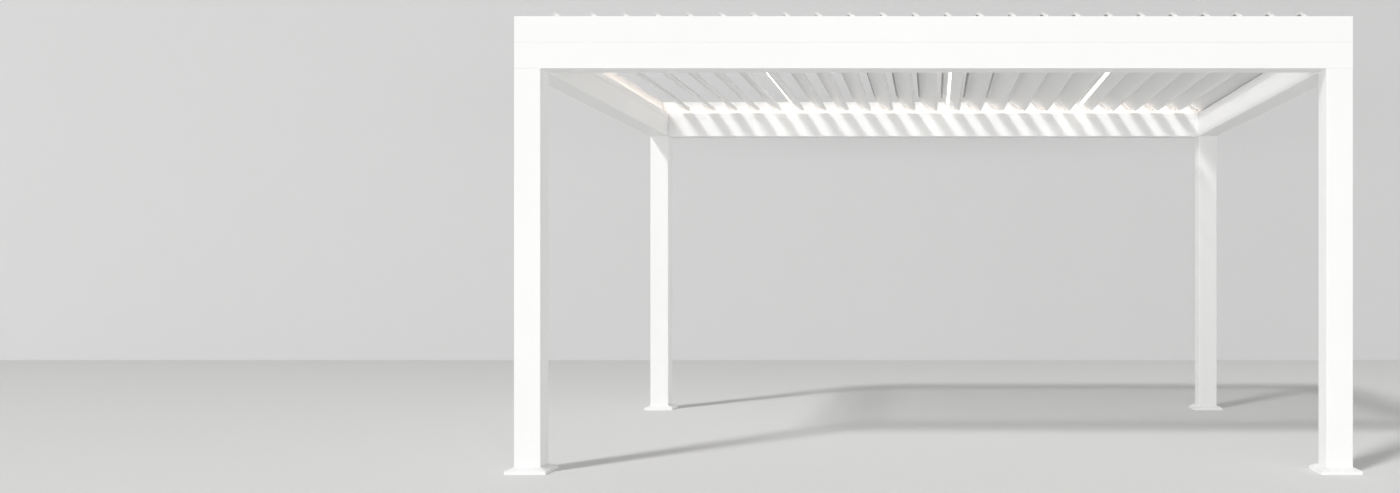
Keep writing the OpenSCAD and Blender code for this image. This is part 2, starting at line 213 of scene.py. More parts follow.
class Graph:
    """Adds and links nodes in one tree."""

    def __init__(self, tree: bpy.types.NodeTree) -> None:
        """Start with an existing tree."""
        self.tree = tree

    def add(
        self, kind: str, inputs: dict[int | str, Any] | None = None, **settings: Any
    ) -> bpy.types.Node:
        """Add a node.

        Args:
            kind: The node's type name.
            inputs: Values or output sockets by input name or number.
            **settings: The node's own properties.

        Returns:
            The new node.
        """
        node = self.tree.nodes.new(kind)
        for key, value in settings.items():
            setattr(node, key, value)
        for key, value in (inputs or {}).items():
            self.put(node.inputs[key], value)
        return node

    def put(self, socket: Socket, value: Any) -> None:
        """Link an output to a socket, or set the socket's value.

        Args:
            socket: The input socket.
            value: An output socket, or a plain value.
        """
        if isinstance(value, bpy.types.NodeSocket):
            self.tree.links.new(value, socket)
        else:
            socket.default_value = value

    def math(self, operation: str, a: Value, b: Value = 0.0, clamp: bool = False) -> Socket:
        """Add a Math node.

        Args:
            operation: The operation's name.
            a: First value or socket.
            b: Second value or socket.
            clamp: Whether the result stays between 0 and 1.

        Returns:
            The result socket.
        """
        node = self.add("ShaderNodeMath", {0: a, 1: b}, operation=operation, use_clamp=clamp)
        return node.outputs[0]

    def ramp(
        self, value: Value, low: float, high: float, to_low: float = 0.0, to_high: float = 1.0
    ) -> Socket:
        """Map a value's range to another, clamped and eased.

        Args:
            value: The value or socket to map.
            low: Where its range starts.
            high: Where its range ends.
            to_low: What the start becomes.
            to_high: What the end becomes.

        Returns:
            The mapped value's socket.
        """
        node = self.add(
            "ShaderNodeMapRange",
            {"Value": value, "From Min": low, "From Max": high, "To Min": to_low, "To Max": to_high},
            interpolation_type="SMOOTHSTEP",
        )
        return node.outputs["Result"]

    def noise(self, vector: Socket, scale: Value, detail: float = 2.0, roughness: float = 0.5) -> Socket:
        """Add a noise texture.

        Args:
            vector: Where the noise is read.
            scale: How fine it is, per metre.
            detail: How many finer layers it has.
            roughness: How strong the finer layers are.

        Returns:
            The noise value's socket.
        """
        node = self.add(
            "ShaderNodeTexNoise",
            {"Vector": vector, "Scale": scale, "Detail": detail, "Roughness": roughness},
        )
        return node.outputs[0]

    def mix(self, factor: Value, first: Any, second: Any, blend: str = "MIX") -> Socket:
        """Mix two colours.

        Args:
            factor: How much of the second colour shows.
            first: First colour or socket.
            second: Second colour or socket.
            blend: The way of mixing.

        Returns:
            The mixed colour's socket.
        """
        node = self.add(
            "ShaderNodeMix",
            {"Factor": factor, "A": first, "B": second},
            data_type="RGBA",
            blend_type=blend,
        )
        return node.outputs["Result"]

    def split(self, vector: Socket) -> bpy.types.Node:
        """Split a vector into X, Y and Z."""
        return self.add("ShaderNodeSeparateXYZ", {0: vector})


@dataclass(frozen=True)
class ShaderGroup:
    """A shader effect that several finishes share, built once.

    Attributes:
        name: The group's name.
        inputs: Name, kind ("Vector" or "Float") and default of each input.
        outputs: Names of the value outputs.
        body: Builds the nodes and returns the output sockets by name.
    """

    name: str
    inputs: Sequence[tuple[str, str, float]]
    outputs: Sequence[str]
    body: Callable[[Graph, bpy.types.Node], dict[str, Socket]]
    built: ClassVar[dict[str, bpy.types.NodeTree]] = {}

    def tree(self) -> bpy.types.NodeTree:
        """Build the group's tree, or return the one already built.

        Returns:
            The tree.
        """
        if self.name not in self.built:
            tree = bpy.data.node_groups.new(self.name, "ShaderNodeTree")
            for label, kind, default in self.inputs:
                socket = tree.interface.new_socket(label, in_out="INPUT", socket_type="NodeSocket" + kind)
                if kind == "Float":
                    socket.default_value = default
            for label in self.outputs:
                tree.interface.new_socket(label, in_out="OUTPUT", socket_type="NodeSocketFloat")
            graph = Graph(tree)
            source = graph.add("NodeGroupInput")
            graph.add("NodeGroupOutput", self.body(graph, source))
            self.built[self.name] = tree
        return self.built[self.name]

    def place(self, graph: Graph, values: dict[str, Any]) -> bpy.types.Node:
        """Put the group into a material.

        Args:
            graph: The material's graph.
            values: Values or sockets by input name.

        Returns:
            The group node.
        """
        return graph.add("ShaderNodeGroup", values, node_tree=self.tree())


def _coat_peel(g: Graph, source: bpy.types.Node) -> dict[str, Socket]:
    """Orange peel of a sprayed coat, with its slow drift of tone and gloss.

    Args:
        g: The group's graph.
        source: The group's input node.

    Returns:
        The group's outputs by name.
    """
    vector, drift = source.outputs["Vector"], source.outputs["Drift"]
    fine = g.noise(vector, source.outputs["Grain"], detail=3.0, roughness=0.55)
    broad = g.noise(vector, scale=3.0)
    cloud = g.noise(vector, scale=0.8, detail=3.0)
    return {
        "Height": fine,
        "Gloss": g.math("MULTIPLY", g.math("SUBTRACT", broad, NOISE_MIDDLE), drift),
        "Tone": g.math("MULTIPLY", g.math("SUBTRACT", cloud, NOISE_MIDDLE), drift),
    }


def _rain_film(g: Graph, source: bpy.types.Node) -> dict[str, Socket]:
    """Thin dust left by dried rain on faces that look up.

    Args:
        g: The group's graph.
        source: The group's input node.

    Returns:
        The group's outputs by name.
    """
    vector = source.outputs["Vector"]
    up = g.ramp(g.split(source.outputs["Normal"]).outputs["Z"], low=0.25, high=0.95)
    spots = g.ramp(g.noise(vector, scale=38.0, detail=4.0, roughness=0.62), low=0.44, high=0.66)
    pools = g.ramp(g.noise(vector, scale=4.0, detail=3.0), low=0.4, high=0.65, to_low=0.35)
    mask = g.math("MULTIPLY", g.math("MULTIPLY", up, spots), pools)
    return {"Mask": g.math("MULTIPLY", mask, source.outputs["Amount"], clamp=True)}


def _mitre_joint(g: Graph, source: bpy.types.Node) -> dict[str, Socket]:
    """Hairline where two lengths meet at 45 degrees in the corners.

    Args:
        g: The group's graph.
        source: The group's input node.

    Returns:
        The group's outputs by name.
    """
    split = g.split(source.outputs["Vector"])
    across = g.math("SUBTRACT", g.math("ABSOLUTE", split.outputs["X"]), g.math("ABSOLUTE", split.outputs["Y"]))
    away = g.math("ABSOLUTE", g.math("SUBTRACT", across, source.outputs["Offset"]))
    near = g.math("DIVIDE", away, source.outputs["Gap"])
    return {"Mask": g.ramp(near, low=0.6, high=1.3, to_low=1.0, to_high=0.0)}


def _draw_lines(g: Graph, source: bpy.types.Node) -> dict[str, Socket]:
    """Fine lines that drawing or brushing leaves along one direction.

    Args:
        g: The group's graph.
        source: The group's input node.

    Returns:
        The group's outputs by name.
    """
    vector = source.outputs["Vector"]
    drawn = g.add("ShaderNodeVectorMath", {0: vector, 1: source.outputs["Stretch"]}, operation="MULTIPLY")
    fine = g.noise(drawn.outputs[0], scale=1.0, detail=4.0, roughness=0.6)
    broad = g.noise(vector, scale=9.0)
    return {"Height": fine, "Gloss": g.math("SUBTRACT", g.math("MULTIPLY", fine, broad), NOISE_MIDDLE**2)}


COAT_PEEL = ShaderGroup(
    "coat_peel",
    (("Vector", "Vector", 0.0), ("Grain", "Float", 900.0), ("Drift", "Float", 0.1)),
    ("Height", "Gloss", "Tone"),
    _coat_peel,
)
RAIN_FILM = ShaderGroup(
    "rain_film",
    (("Vector", "Vector", 0.0), ("Normal", "Vector", 0.0), ("Amount", "Float", 0.5)),
    ("Mask",),
    _rain_film,
)
MITRE_JOINT = ShaderGroup(
    "mitre_joint",
    (("Vector", "Vector", 0.0), ("Offset", "Float", 0.6), ("Gap", "Float", 0.0004)),
    ("Mask",),
    _mitre_joint,
)
DRAW_LINES = ShaderGroup(
    "draw_lines",
    (("Vector", "Vector", 0.0), ("Stretch", "Vector", 0.0)),
    ("Height", "Gloss"),
    _draw_lines,
)


# Finishes


class Draft:
    """A material in the making: its graph, its shader and output, and Object coordinates."""

    def __init__(self, name: str) -> None:
        """Start an empty material.

        Args:
            name: The material's name.
        """
        self.material = bpy.data.materials.new(name)
        self.material.use_nodes = True
        self.material.node_tree.nodes.clear()
        self.graph = Graph(self.material.node_tree)
        self.shader = self.graph.add("ShaderNodeBsdfPrincipled")
        self.output = self.graph.add("ShaderNodeOutputMaterial", {"Surface": self.shader.outputs[0]})
        coordinates = self.graph.add("ShaderNodeTexCoord")
        self.position = coordinates.outputs["Object"]
        self.normal = coordinates.outputs["Normal"]

    def tint(self, colour: Colour, tone: Socket) -> Socket:
        """Lighten and darken a colour by a tone that varies about zero."""
        return self.graph.mix(1.0, opaque(colour), self.graph.math("ADD", tone, 1.0), "MULTIPLY")

    def dusty(self, colour: Colour, tone: Socket, amount: float, dust: Colour) -> tuple[Socket, Socket]:
        """Tint a colour and lay the film of dried rain over it.

        Args:
            colour: The clean colour.
            tone: Socket that lightens and darkens it.
            amount: How much dust there is.
            dust: The dust's colour.

        Returns:
            The colour's socket and the film's mask.
        """
        film = RAIN_FILM.place(
            self.graph, {"Vector": self.position, "Normal": self.normal, "Amount": amount}
        )
        mask = film.outputs["Mask"]
        return self.graph.mix(mask, self.tint(colour, tone), opaque(dust)), mask

    def surface(self, colour: Socket, roughness: Value, height: Socket | None = None) -> None:
        """Feed the shader.

        Args:
            colour: The colour's socket.
            roughness: The roughness.
            height: Relief in metres, or None where there is none.
        """
        self.graph.put(self.shader.inputs["Base Color"], colour)
        self.graph.put(self.shader.inputs["Roughness"], roughness)
        if height is not None:
            bump = self.graph.add("ShaderNodeBump", {"Height": height, "Distance": 1.0, "Strength": 1.0})
            self.graph.put(self.shader.inputs["Normal"], bump.outputs[0])


@dataclass(frozen=True)
class PowderCoat:
    """Powder coat on aluminium: fine orange peel, slight drift of tone, dust on top faces.

    Attributes:
        name: The material's name.
        colour: Colour of the coat.
        stain: Colour of the dust.
        roughness: Roughness of the clean coat.
        film_roughness: What a full film of dust adds to the roughness.
        grain: How fine the orange peel is, per metre.
        peel_depth: Depth of the orange peel.
        drift: How far tone and gloss drift.
        dust: How much dust lies on top faces.
        mitre_offset: How much wider than deep the rim is, by half, or None where there is no mitre.
        mitre_gap: Width and depth of the mitre's hairline.
        mitre_shade: Colour in the hairline.
    """

    name: str
    colour: Colour = (0.90, 0.90, 0.895)
    stain: Colour = (0.62, 0.60, 0.56)
    roughness: float = 0.42
    film_roughness: float = 0.4
    grain: float = 850.0
    peel_depth: float = 0.00006
    drift: float = 0.05
    dust: float = 0.35
    mitre_offset: float | None = None
    mitre_gap: float = 0.0005
    mitre_shade: Colour = (0.22, 0.22, 0.22)

    def build(self) -> bpy.types.Material:
        """Build the material.

        Returns:
            The material.
        """
        draft = Draft(self.name)
        g = draft.graph
        peel = COAT_PEEL.place(g, {"Vector": draft.position, "Grain": self.grain, "Drift": self.drift})
        colour, film = draft.dusty(self.colour, peel.outputs["Tone"], self.dust, self.stain)
        height = g.math("MULTIPLY", peel.outputs["Height"], self.peel_depth)
        if self.mitre_offset is not None:
            joint = MITRE_JOINT.place(
                g, {"Vector": draft.position, "Offset": self.mitre_offset, "Gap": self.mitre_gap}
            )
            colour = g.mix(joint.outputs["Mask"], colour, opaque(self.mitre_shade))
            height = g.math("ADD", height, g.math("MULTIPLY", joint.outputs["Mask"], -self.mitre_gap))
        clean = g.math("ADD", peel.outputs["Gloss"], self.roughness)
        rough = g.math("ADD", clean, g.math("MULTIPLY", film, self.film_roughness), clamp=True)
        draft.surface(colour, rough, height)
        return draft.material


@dataclass(frozen=True)
class Metal:
    """Bare metal with the lines of its making.

    Attributes:
        name: The material's name.
        colour: Colour of the metal.
        roughness: Its middle roughness.
        stretch: How fine the lines are along X, Y and Z, per metre.
        line_depth: Depth of the lines.
        line_gloss: How much the lines change the roughness.
        drift: How far its tone drifts.
    """

    name: str
    colour: Colour
    roughness: float
    stretch: Point
    line_depth: float = 0.00002
    line_gloss: float = 0.35
    drift: float = 0.12

    def build(self) -> bpy.types.Material:
        """Build the material.

        Returns:
            The material.
        """
        draft = Draft(self.name)
        g = draft.graph
        lines = DRAW_LINES.place(g, {"Vector": draft.position, "Stretch": self.stretch})
        peel = COAT_PEEL.place(g, {"Vector": draft.position, "Drift": self.drift})
        gloss = g.math("MULTIPLY", lines.outputs["Gloss"], self.line_gloss)
        draft.shader.inputs["Metallic"].default_value = 1.0
        draft.surface(
            draft.tint(self.colour, peel.outputs["Tone"]),
            g.math("ADD", gloss, self.roughness, clamp=True),
            g.math("MULTIPLY", lines.outputs["Height"], self.line_depth),
        )
        return draft.material


@dataclass(frozen=True)
class Galvanised:
    """Hot-dip zinc with its spangle.

    Attributes:
        name: The material's name.
        colour: Middle colour of the zinc.
        stain: Colour of the dust.
        dust: How much dust lies on top faces.
        spangle: How many spangles there are along a metre.
        contrast: How far the spangles differ in tone.
        roughness: Lowest and highest roughness of a spangle.
    """

    name: str
    colour: Colour = (0.56, 0.57, 0.58)
    stain: Colour = (0.45, 0.44, 0.42)
    dust: float = 0.3
    spangle: float = 70.0
    contrast: float = 0.3
    roughness: Flat = (0.38, 0.6)

    def build(self) -> bpy.types.Material:
        """Build the material.

        Returns:
            The material.
        """
        draft = Draft(self.name)
        g = draft.graph
        cells = g.add("ShaderNodeTexVoronoi", {"Vector": draft.position, "Scale": self.spangle})
        grains = g.add("ShaderNodeSeparateColor", {0: cells.outputs["Color"]})
        tone = g.math("MULTIPLY", g.math("SUBTRACT", grains.outputs[0], NOISE_MIDDLE), self.contrast)
        colour, _ = draft.dusty(self.colour, tone, self.dust, self.stain)
        draft.shader.inputs["Metallic"].default_value = 1.0
        draft.surface(colour, g.ramp(grains.outputs[1], 0.0, 1.0, *self.roughness))
        return draft.material


@dataclass(frozen=True)
class Plastic:
    """Moulded plastic, rubber or sealant.

    Attributes:
        name: The material's name.
        colour: Its colour.
        roughness: Its middle roughness.
        grain: How fine the surface's grain is, per metre.
        depth: Depth of the grain.
        drift: How far tone and gloss drift.
        dust: How much dust lies on top faces.
        stain: Colour of the dust.
    """

    name: str
    colour: Colour
    roughness: float
    grain: float = 500.0
    depth: float = 0.00005
    drift: float = 0.2
    dust: float = 0.3
    stain: Colour = (0.5, 0.48, 0.44)

    def build(self) -> bpy.types.Material:
        """Build the material.

        Returns:
            The material.
        """
        draft = Draft(self.name)
        g = draft.graph
        peel = COAT_PEEL.place(g, {"Vector": draft.position, "Grain": self.grain, "Drift": self.drift})
        colour, _ = draft.dusty(self.colour, peel.outputs["Tone"], self.dust, self.stain)
        draft.surface(
            colour,
            g.math("ADD", peel.outputs["Gloss"], self.roughness, clamp=True),
            g.math("MULTIPLY", peel.outputs["Height"], self.depth),
        )
        return draft.material


@dataclass(frozen=True)
class Diffuser:
    """Opal cover, lit or not, with the faint beads of the light points behind it.

    Attributes:
        name: The material's name.
        strength: How strongly it glows, 0 where it is off.
        glow: Colour of its light.
        cover: Colour of the opal.
        roughness: Roughness of the opal.
        bead_pitch: Distance between the light points.
        bead_contrast: How much they show.
    """

    name: str
    strength: float
    glow: Colour = (1.0, 0.955, 0.88)
    cover: Colour = (0.9, 0.89, 0.86)
    roughness: float = 0.35
    bead_pitch: float = 0.0125
    bead_contrast: float = 0.12

    def build(self) -> bpy.types.Material:
        """Build the material.

        Returns:
            The material.
        """
        draft = Draft(self.name)
        g = draft.graph
        split = g.split(draft.position)
        run = g.math("ADD", split.outputs["X"], split.outputs["Y"])
        wave = g.math("SINE", g.math("MULTIPLY", run, tau / self.bead_pitch))
        tone = g.math("MULTIPLY", wave, self.bead_contrast / 2)
        draft.shader.inputs["Base Color"].default_value = opaque(self.cover)
        draft.shader.inputs["Roughness"].default_value = self.roughness
        g.put(draft.shader.inputs["Emission Color"], draft.tint(self.glow, tone))
        draft.shader.inputs["Emission Strength"].default_value = self.strength
        return draft.material


Finish = PowderCoat | Metal | Galvanised | Plastic | Diffuser


@dataclass(frozen=True)
class Palette:
    """All finishes of the pergola, each built once.

    Attributes:
        rim: Sizes of the rim, which place its mitres.
        made: The materials built so far, by name.
    """

    rim: Rim
    made: dict[str, bpy.types.Material] = field(default_factory=dict)

    def get(self, finish: Finish) -> bpy.types.Material:
        """Return a finish's material, built the first time.

        Args:
            finish: The finish.

        Returns:
            Its material.
        """
        if finish.name not in self.made:
            self.made[finish.name] = finish.build()
        return self.made[finish.name]

    @property
    def rim_coat(self) -> bpy.types.Material:
        """Powder coat of the beams and the roof frame, with mitre hairlines."""
        return self.get(PowderCoat("rim_coat", mitre_offset=self.rim.half_width - self.rim.half_depth))

    @property
    def post_coat(self) -> bpy.types.Material:
        """Powder coat of the posts and foot covers."""
        return self.get(PowderCoat("post_coat"))

    @property
    def louvre_coat(self) -> bpy.types.Material:
        """Powder coat of the louvres."""
        return self.get(PowderCoat("louvre_coat", colour=(0.89, 0.89, 0.885), dust=0.45))

    @property
    def zinc(self) -> bpy.types.Material:
        """Galvanised steel of the base plates."""
        return self.get(Galvanised("zinc"))

    @property
    def rod_metal(self) -> bpy.types.Material:
        """Mill-finish aluminium of the push rod."""
        return self.get(
            Metal("rod_metal", colour=(0.78, 0.785, 0.79), roughness=0.38, stretch=(12.0, 2600.0, 2600.0))
        )

    @property
    def light_profile(self) -> bpy.types.Material:
        """Anodised aluminium of the perimeter light bars."""
        return self.get(
            Metal("light_profile", colour=(0.82, 0.825, 0.83), roughness=0.42, stretch=(900.0, 900.0, 900.0))
        )

    @property
    def stainless(self) -> bpy.types.Material:
        """Stainless steel of screws and clips."""
        return self.get(
            Metal("stainless", colour=(0.68, 0.68, 0.67), roughness=0.28, stretch=(3000.0, 3000.0, 3000.0))
        )

    @property
    def nylon(self) -> bpy.types.Material:
        """Black nylon of the pivot bushes."""
        return self.get(Plastic("nylon", colour=(0.03, 0.03, 0.032), roughness=0.45))

    @property
    def outlet_plastic(self) -> bpy.types.Material:
        """Grey plastic of the drain outlets."""
        return self.get(Plastic("outlet_plastic", colour=(0.32, 0.325, 0.33), roughness=0.48))

    @property
    def seal_rubber(self) -> bpy.types.Material:
        """Pale grey rubber of the louvre seals and hook plugs."""
        return self.get(Plastic("seal_rubber", colour=(0.70, 0.70, 0.69), roughness=0.62, grain=900.0))

    @property
    def sealant(self) -> bpy.types.Material:
        """Pale sealant in the gutter's corners."""
        return self.get(
            Plastic("sealant", colour=(0.72, 0.72, 0.70), roughness=0.35, grain=220.0, depth=0.0002)
        )

    @property
    def strip_opal(self) -> bpy.types.Material:
        """Opal cover of the louvre light strips."""
        return self.get(Diffuser("strip_opal", strength=3.5))

    @property
    def dark_opal(self) -> bpy.types.Material:
        """Opal cover of a perimeter light that is off."""
        return self.get(Diffuser("dark_opal", strength=0.0))

    def rim_opal(self, side: Side, strength: float) -> bpy.types.Material:
        """Opal cover of a lit perimeter light.

        Args:
            side: The side of the rim that it lies along.
            strength: How strongly it glows.

        Returns:
            The material.
        """
        name = "rim_opal_" + side.name.lower()
        return self.get(Diffuser(name, strength, glow=(1.0, 0.87, 0.77)))


# Pieces


def skin(size: int, rings: int, start: int = 0) -> list[Face]:
    """Faces of a closed skin over a stack of rings of points.

    Args:
        size: How many points each ring has.
        rings: How many rings there are.
        start: Number of the first ring's first point.

    Returns:
        The sides from ring to ring, then a face over the first ring and one over the last.
    """
    last = start + (rings - 1) * size
    faces: list[Face] = []
    for ring in range(start, last, size):
        for i in range(size):
            a, b = ring + i, ring + (i + 1) % size
            faces.append((a, b, b + size, a + size))
    faces.append(tuple(range(start + size - 1, start - 1, -1)))
    faces.append(tuple(range(last, last + size)))
    return faces


@dataclass
class Workshop:
    """Makes meshes, dresses them and sets them on their bodies.

    Attributes:
        palette: The finishes.
        merge_distance: Points nearer than this become one.
        count: How many pieces are made so far.
    """

    palette: Palette
    merge_distance: float = 1e-6
    count: int = 0

    def mesh(self, name: str, points: Iterable[Point], faces: Iterable[Face]) -> bpy.types.Mesh:
        """Make a mesh from points and faces, with normals outwards.

        Args:
            name: Name of the mesh.
            points: Its points.
            faces: Its faces, by the points' numbers.

        Returns:
            The mesh.
        """
        mesh = bpy.data.meshes.new(name)
        mesh.from_pydata(list(points), [], list(faces))
        work = bmesh.new()
        work.from_mesh(mesh)
        bmesh.ops.remove_doubles(work, verts=work.verts, dist=self.merge_distance)
        bmesh.ops.recalc_face_normals(work, faces=work.faces)
        work.to_mesh(mesh)
        work.free()
        return mesh

    def show(self, name: str, mesh: bpy.types.Mesh) -> bpy.types.Object:
        """Link a mesh into the scene as an object.

        Args:
            name: Name of the object.
            mesh: Its mesh.

        Returns:
            The object.
        """
        piece = bpy.data.objects.new(name, mesh)
        bpy.context.scene.collection.objects.link(piece)
        return piece

    def seat(
        self, piece: bpy.types.Object, body: str, slot: Slot, finish: bpy.types.Material | None = None
    ) -> bpy.types.Object:
        """Set a finished piece on its body.

        Args:
            piece: The piece, at the origin with its place in its mesh.
            body: The body that it moves with.
            slot: The record's slot that its finish belongs to; not used.
            finish: Its material, or None where the mesh has one.

        Returns:
            The piece.
        """
        if finish is not None:
            piece.data.materials.clear()
            piece.data.materials.append(finish)
        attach(piece, body)
        self.count += 1
        LOG.info("%s rides on %s, %d faces", piece.name, body, len(piece.data.polygons))
        return piece

    def grow(
        self, name: str, base: bpy.types.Mesh, tree: bpy.types.NodeTree, values: dict[str, Any]
    ) -> bpy.types.Object:
        """Run a geometry tree on a mesh and keep the result as a plain mesh.

        Args:
            name: Name of the piece.
            base: Mesh whose points or edges the tree works on.
            tree: The geometry node tree.
            values: Input values by name.

        Returns:
            The piece, with no modifier left.
        """
        piece = self.show(name, base)
        modifier = piece.modifiers.new("grow", "NODES")
        modifier.node_group = tree
        for item in tree.interface.items_tree:
            if item.item_type == "SOCKET" and item.in_out == "INPUT" and item.name in values:
                modifier[item.identifier] = values[item.name]
        bpy.context.view_layer.update()
        graph = bpy.context.evaluated_depsgraph_get()
        result = bpy.data.meshes.new_from_object(piece.evaluated_get(graph))
        piece.modifiers.clear()
        piece.data = result
        result.name = name
        return piece

    def dress(self, prefix: str, finish: bpy.types.Material) -> None:
        """Give every CAD node whose name starts with a prefix a finish.

        Args:
            prefix: Start of the nodes' names.
            finish: Their material.
        """
        for name, node in frame["nodes"].items():
            if name.startswith(prefix):
                node.data.materials.clear()
                node.data.materials.append(finish)
                LOG.info("%s is finished in %s", name, finish.name)


def open_tree(name: str, inputs: Sequence[tuple[str, str]]) -> tuple[Graph, bpy.types.Node]:
    """Start a geometry tree.

    Args:
        name: The tree's name.
        inputs: Name and socket kind of each input after the geometry.

    Returns:
        The graph and its input node.
    """
    tree = bpy.data.node_groups.new(name, "GeometryNodeTree")
    tree.interface.new_socket("Geometry", in_out="INPUT", socket_type="NodeSocketGeometry")
    for label, kind in inputs:
        tree.interface.new_socket(label, in_out="INPUT", socket_type="NodeSocket" + kind)
    tree.interface.new_socket("Geometry", in_out="OUTPUT", socket_type="NodeSocketGeometry")
    graph = Graph(tree)
    return graph, graph.add("NodeGroupInput")


def close_tree(g: Graph, source: bpy.types.Node, geometry: Socket) -> bpy.types.NodeTree:
    """End a geometry tree: realize its instances and set its material.

    Args:
        g: The tree's graph.
        source: The tree's input node, with an input named Finish.
        geometry: What the tree has made.

    Returns:
        The tree.
    """
    real = g.add("GeometryNodeRealizeInstances", {0: geometry})
    dressed = g.add(
        "GeometryNodeSetMaterial", {"Geometry": real.outputs[0], "Material": source.outputs["Finish"]}
    )
    g.add("NodeGroupOutput", {0: dressed.outputs[0]})
    return g.tree


def fixings_tree() -> bpy.types.NodeTree:
    """Tree that sets a fixing on every point, along the point's own axis, turned at random.

    Returns:
        The tree, with inputs Fixing, Seed and Finish.
    """
    g, source = open_tree(
        "fixings_on_points", (("Fixing", "Object"), ("Seed", "Int"), ("Finish", "Material"))
    )
    fixing = g.add("GeometryNodeObjectInfo", {"Object": source.outputs["Fixing"], "As Instance": True})
    axis = g.add("GeometryNodeInputNamedAttribute", {"Name": "axis"}, data_type="FLOAT_VECTOR")
    align = g.add("FunctionNodeAlignRotationToVector", {"Vector": axis.outputs[0]}, axis="Z")
    # Of a random float, inputs 2 and 3 are its lowest and highest value.
    spin = g.add(
        "FunctionNodeRandomValue", {"Seed": source.outputs["Seed"], 2: 0.0, 3: tau}, data_type="FLOAT"
    )
    turn = g.add("ShaderNodeCombineXYZ", {"Z": spin.outputs[1]})
    local = g.add("FunctionNodeEulerToRotation", {0: turn.outputs[0]})
    both = g.add(
        "FunctionNodeRotateRotation",
        {0: align.outputs[0], 1: local.outputs[0]},
        rotation_space="LOCAL",
    )
    placed = g.add(
        "GeometryNodeInstanceOnPoints",
        {
            "Points": source.outputs["Geometry"],
            "Instance": fixing.outputs["Geometry"],
            "Rotation": both.outputs[0],
        },
    )
    return close_tree(g, source, placed.outputs[0])


def bead_tree() -> bpy.types.NodeTree:
    """Tree that runs a round bead along every edge, with an uneven hand-laid line where asked.

    Returns:
        The tree, with inputs Radius, Step, Wander, Sides, Seed and Finish.
    """
    g, source = open_tree(
        "bead_on_edges",
        (
            ("Radius", "Float"),
            ("Step", "Float"),
            ("Wander", "Float"),
            ("Sides", "Int"),
            ("Seed", "Int"),
            ("Finish", "Material"),
        ),
    )
    line = g.add("GeometryNodeMeshToCurve", {0: source.outputs["Geometry"]})
    even = g.add(
        "GeometryNodeResampleCurve", {"Curve": line.outputs[0], "Length": source.outputs["Step"]}, mode="LENGTH"
    )
    # Of a random vector, inputs 0 and 1 are its lowest and highest value.
    stray = g.add(
        "FunctionNodeRandomValue",
        {"Seed": source.outputs["Seed"], 0: (-1.0, -1.0, -1.0), 1: (1.0, 1.0, 1.0)},
        data_type="FLOAT_VECTOR",
    )
    shift = g.add(
        "ShaderNodeVectorMath",
        {0: stray.outputs[0], "Scale": source.outputs["Wander"]},
        operation="SCALE",
    )
    moved = g.add(
        "GeometryNodeSetPosition", {"Geometry": even.outputs[0], "Offset": shift.outputs[0]}
    )
    ring = g.add(
        "GeometryNodeCurvePrimitiveCircle",
        {"Resolution": source.outputs["Sides"], "Radius": source.outputs["Radius"]},
    )
    tube = g.add(
        "GeometryNodeCurveToMesh",
        {"Curve": moved.outputs[0], "Profile Curve": ring.outputs[0], "Fill Caps": True},
    )
    return close_tree(g, source, tube.outputs[0])


